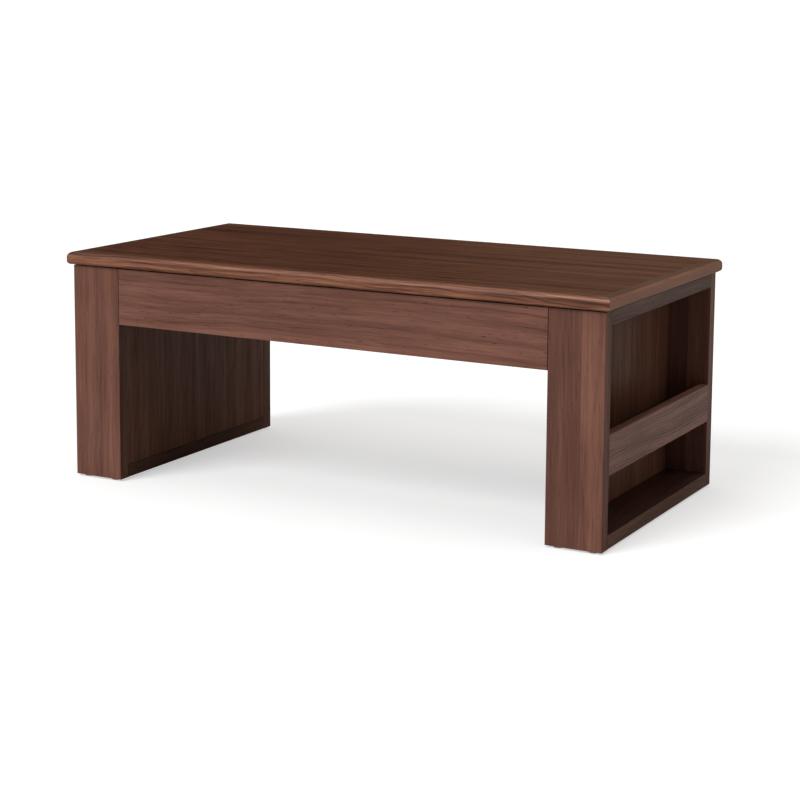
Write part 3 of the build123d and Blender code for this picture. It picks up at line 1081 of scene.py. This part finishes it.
@dataclass
class LiftMechanism:
    """The two sets of parallel arms, with their springs, pins and screws."""

    wire: float = 1.2 * MM              # radius of the spring wire
    coil: float = 6.8 * MM              # radius of the coils' middle line
    turns: int = 26
    steps: int = 18                     # points in each turn
    hook: float = 17 * MM               # from the stud to the first coil
    eye: float = 5.2 * MM               # half the hook's width, at its middle line
    eye_length: float = 8.2 * MM        # half its length
    keep: float = 0.575                 # spring's length at full lift, as a share of rest
    hook_points: int = 15
    hook_open: float = 40.0             # degrees from the coils to the hook's open end
    dome: float = 1.3 * MM
    pin_shank: float = 4.0 * MM         # radius
    pin_head: float = 2.0 * MM          # height
    screw_shank: float = 2.0 * MM       # radius
    screw_head: float = 1.6 * MM        # height
    screw_crown: float = 0.6            # share of the head's height that is rounded
    recess: float = 1.0 * MM            # depth of the hole for the driver
    recess_floor: float = 0.5 * MM      # radius
    recess_rim: Point2 = (1.5 * MM, 0.12 * MM)
    recess_lip: Point2 = (1.7 * MM, 0.05 * MM)

    def dress(self, black: bpy.types.Material, zinc: bpy.types.Material) -> None:
        """Gives the pressed steel and the turned pieces their finish.

        Args:
            black: Powder coat.
            zinc: Zinc plate.
        """
        for side, _ in SIDES:
            for name in ("base_plate", "rear_arm", "front_arm", "top_bracket"):
                finish_node(f"{name}_{side}", black)
        finish_node("cross_tube", black)
        for name in ("base_washers", "bracket_washers", "stop_studs", "spring_anchors",
                     "spring_studs"):
            finish_node(name, zinc)

    def build(self, zinc: bpy.types.Material, wire: bpy.types.Material) -> None:
        """Makes the springs, the headed pins and the pan head screws.

        Args:
            zinc: The pins' and screws' material.
            wire: The springs' material.
        """
        for side, _ in SIDES:
            self._spring(side, wire)
        self._headed("base_pins", "case", zinc, both_ends=False)
        self._headed("bracket_pins", "top", zinc, both_ends=True)
        self._screws("plate_screws", "case", zinc, Way.LENGTH)
        self._screws("bracket_screws", "top", zinc, Way.HEIGHT)

    def _spring(self, side: str, wire: bpy.types.Material) -> None:
        """Winds one extension spring between its two studs.

        Args:
            side: Which end of the table.
            wire: The spring's material.
        """
        anchors = islands("spring_anchors")
        studs = islands("spring_studs")
        pick = 0 if side == "left" else 1
        low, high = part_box(f"spring_{side}")
        line = (low.x + high.x) / 2
        start = (anchors[pick][0] + anchors[pick][1]) / 2
        end = (studs[pick][0] + studs[pick][1]) / 2
        start.x = end.x = line
        ahead = (end - start).normalized()
        sideways = Vector((1, 0, 0))
        up = sideways.cross(ahead).normalized()
        body = (end - start).length - 2 * self.hook
        path = self._eye(start, ahead, up)
        count = self.turns * self.steps
        for i in range(count + 1):
            angle = math.tau * i / self.steps
            along = self.hook + body * i / count
            path.append(
                start
                + ahead * along
                + up * self.coil * math.cos(angle)
                + sideways * self.coil * math.sin(angle)
            )
        path += list(reversed(self._eye(end, -ahead, up)))
        coils = [tube(path, self.wire)]
        piece = add_piece(f"spring_coils_{side}", coils, wire, "springs")
        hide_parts(f"spring_{side}")
        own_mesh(piece)

    def _eye(self, centre: Vector, inward: Vector, up: Vector) -> list[Vector]:
        """The hook round a stud, from its open end to the first coil.

        Args:
            centre: The stud's middle.
            inward: The way to the coils.
            up: Across the spring, in the plane of the hook.

        Returns:
            Points along the wire.
        """
        points = []
        sweep = 360 - 2 * self.hook_open
        for i in range(self.hook_points):
            angle = math.radians(self.hook_open + sweep * i / (self.hook_points - 1))
            along = inward * self.eye_length * math.cos(angle)
            points.append(centre + along - up * self.eye * math.sin(angle))
        # The wire climbs from the hook to the first coil
        for ahead, out in ((0.6, 0.62), (0.85, 0.92)):
            points.append(centre + inward * self.hook * ahead + up * self.coil * out)
        return points

    def _headed(
        self, node_name: str, body: str, zinc: bpy.types.Material, both_ends: bool
    ) -> None:
        """Makes pins with domed heads.

        Args:
            node_name: The CAD node of the pins.
            body: The body that they move with.
            zinc: Their material.
            both_ends: Whether the outer end is headed too.
        """
        shank, height = self.pin_shank, self.pin_head
        solids = []
        for low, high in islands(node_name):
            radius, length = (high.y - low.y) / 2, high.x - low.x
            profile = [(0, 0), *quarter((0, 0), radius, self.dome)]
            profile += [(radius, height), (shank, height)]
            if both_ends:
                profile += [(shank, length - height), (radius, length - height)]
                profile += reversed(quarter((0, length), radius, -self.dome))
            else:
                profile.append((shank, length))
            profile.append((0, length))
            solids.append(turned(profile, *outer_way(low, high), sides=32))
        piece = add_piece(f"{node_name}_domed", solids, zinc, body)
        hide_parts(node_name)

    def _screws(self, node_name: str, body: str, zinc: bpy.types.Material, way: Way) -> None:
        """Makes pan head screws with a round hole for the driver.

        Args:
            node_name: The CAD node of the screws.
            body: The body that they move with.
            zinc: Their material.
            way: The direction of their shanks.
        """
        shank, height = self.screw_shank, self.screw_head
        lip = self.recess_lip
        solids = []
        for low, high in islands(node_name):
            middle = (low + high) / 2
            if way is Way.LENGTH:
                start, into = outer_way(low, high)
            else:
                start, into = Vector((middle.x, middle.y, low.z)), Vector((0, 0, 1))
            radius, length = (high.y - low.y) / 2, (high - low)[way.value]
            profile = [(0, self.recess), (self.recess_floor, self.recess * 0.8),
                       self.recess_rim, lip]
            profile += quarter(lip, radius - lip[0], height * self.screw_crown, steps=4)
            profile += [(radius, height), (shank, height), (shank, length - 2 * shank), (0, length)]
            solids.append(turned(profile, start, into, sides=24))
        piece = add_piece(f"{node_name}_pan_head", solids, zinc, body)
        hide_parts(node_name)


# ---------- Studio ----------


@dataclass(frozen=True)
class Lamp:
    """A large round soft light, far away."""

    name: str
    towards: Point                  # the way from the table to the light
    spread: float                   # how wide it looks from the table, in degrees
    strength: float                 # in watts on each square metre
    colour: str = "#ffffff"

    def hang(self) -> None:
        """Puts the light in the scene."""
        data = bpy.data.lights.new(self.name, "SUN")
        data.color = linear(self.colour)[:3]
        data.angle = math.radians(self.spread)
        data.energy = self.strength
        lamp = bpy.data.objects.new(self.name, data)
        lamp.rotation_mode = "QUATERNION"
        lamp.rotation_quaternion = Vector(self.towards).to_track_quat("Z", "Y")
        lamp.location = Vector(self.towards) * 4
        bpy.context.scene.collection.objects.link(lamp)


@dataclass
class Studio:
    """A pale floor, soft lights and the camera."""

    lamps: tuple[Lamp, ...] = (
        Lamp("key", (-0.27, -0.75, 0.60), 34, 2.62),
        Lamp("overhead", (0.05, 0.12, 1.0), 70, 1.15),
        Lamp("fill", (0.94, 0.16, 0.30), 50, 0.57, "#fff0df"),
        Lamp("rim", (-0.25, 0.97, 0.2), 24, 0.04, "#ffd2a8"),
    )
    eye: Point = (1.869, -3.4385, 1.0004)
    yaw: float = -28.778            # degrees from +Y, towards -X
    pitch: float = 7.969            # degrees below level
    roll: float = 0.321
    lens: float = 86.945            # mm on a 36 mm sensor
    shift: tuple[float, float] = (0.02, -0.1694)
    floor_half: float = 30.0
    floor_glow: float = 0.5         # its own light, where the camera sees it
    sky_seen: float = 1.2           # strength behind the table
    sky_soft: float = 0.17          # strength of its light on surfaces
    sky_gloss: float = 0.01         # strength in reflections

    def build(self) -> None:
        """Makes the floor, the lights and the camera."""
        self._floor()
        self._sky()
        for lamp in self.lamps:
            lamp.hang()
        self._camera()
        scene = bpy.context.scene
        scene.view_settings.view_transform = "Standard"
        scene.view_settings.look = "None"

    def _floor(self) -> None:
        """Lays the floor: white where it is seen, and darker as a source of bounced light."""
        work = bmesh.new()
        bmesh.ops.create_grid(work, x_segments=2, y_segments=2, size=self.floor_half)
        mesh = bpy.data.meshes.new("floor")
        work.to_mesh(mesh)
        work.free()
        floor = bpy.data.objects.new("floor", mesh)
        bpy.context.scene.collection.objects.link(floor)
        material = bpy.data.materials.new("pale_floor")
        material.use_nodes = True
        tree = material.node_tree
        tree.nodes.clear()
        where = node(tree, "TexCoord").outputs["Object"]
        cloud = node(tree, "TexNoise", {"Scale": 3.0, "Detail": 3.0}, {"Vector": where})
        stops = ((0.3, linear("#c6c6c6")), (0.7, linear("#cacaca")))
        paint = node(tree, "ValToRGB", links={"Fac": cloud.outputs[0]}, stops=stops)
        seen = node(tree, "BsdfDiffuse", links={"Color": paint.outputs["Color"]})
        glow = node(tree, "Emission", {"Color": linear("#ffffff"), "Strength": self.floor_glow})
        bright = node(tree, "AddShader", links={0: seen.outputs[0], 1: glow.outputs[0]})
        bounce = node(tree, "BsdfDiffuse", {"Color": linear("#a8a8a8")})
        view = node(tree, "LightPath").outputs["Is Camera Ray"]
        both = node(tree, "MixShader", links={0: view, 1: bounce.outputs[0], 2: bright.outputs[0]})
        node(tree, "OutputMaterial", links={"Surface": both.outputs[0]})
        mesh.materials.append(material)

    def _sky(self) -> None:
        """Lights the studio from all round: white when seen, soft on surfaces, dim in gloss."""
        world = bpy.data.worlds.new("studio")
        bpy.context.scene.world = world
        world.use_nodes = True
        tree = world.node_tree
        tree.nodes.clear()
        path = node(tree, "LightPath")
        soft = node(
            tree,
            "Math",
            {"operation": "MULTIPLY_ADD", 1: self.sky_gloss - self.sky_soft, 2: self.sky_soft},
            {0: path.outputs["Is Glossy Ray"]},
        )
        strength = node(
            tree,
            "Math",
            {"operation": "MULTIPLY_ADD", 1: self.sky_seen},
            {0: path.outputs["Is Camera Ray"], 2: soft.outputs[0]},
        )
        light = node(
            tree, "Background", {"Color": linear("#ffffff")}, {"Strength": strength.outputs[0]}
        )
        node(tree, "OutputWorld", links={"Surface": light.outputs[0]})

    def _camera(self) -> None:
        """Stands the camera in front of the right leg."""
        yaw, pitch, roll = (math.radians(a) for a in (self.yaw, self.pitch, self.roll))
        ahead = Vector(
            (math.sin(yaw) * math.cos(pitch), math.cos(yaw) * math.cos(pitch), -math.sin(pitch))
        )
        level = Vector((math.cos(yaw), -math.sin(yaw), 0))
        above = level.cross(ahead)
        right = level * math.cos(roll) + above * math.sin(roll)
        up = above * math.cos(roll) - level * math.sin(roll)
        data = bpy.data.cameras.new("camera")
        data.sensor_width = 36
        data.lens = self.lens
        data.shift_x, data.shift_y = self.shift
        camera = bpy.data.objects.new("camera", data)
        turn = Matrix((right, up, -ahead)).transposed().to_4x4()
        camera.matrix_world = Matrix.Translation(Vector(self.eye)) @ turn
        bpy.context.scene.collection.objects.link(camera)
        bpy.context.scene.camera = camera


def main() -> None:
    """Builds the table's looks, then the studio."""
    powder_coat, zinc, wire, nylon, rubber, beech = (
        finish.material() for finish in (POWDER_COAT, ZINC, SPRING_WIRE, NYLON, RUBBER, BEECH)
    )
    legs = Legs()
    legs.dress()
    legs.build(nylon, beech)
    case = Case()
    case.dress(beech)
    case.build(zinc, rubber)
    LiftTop().dress()
    mechanism = LiftMechanism()
    mechanism.dress(powder_coat, zinc)
    mechanism.build(zinc, wire)
    Studio().build()


if __name__ == "__main__":
    main()
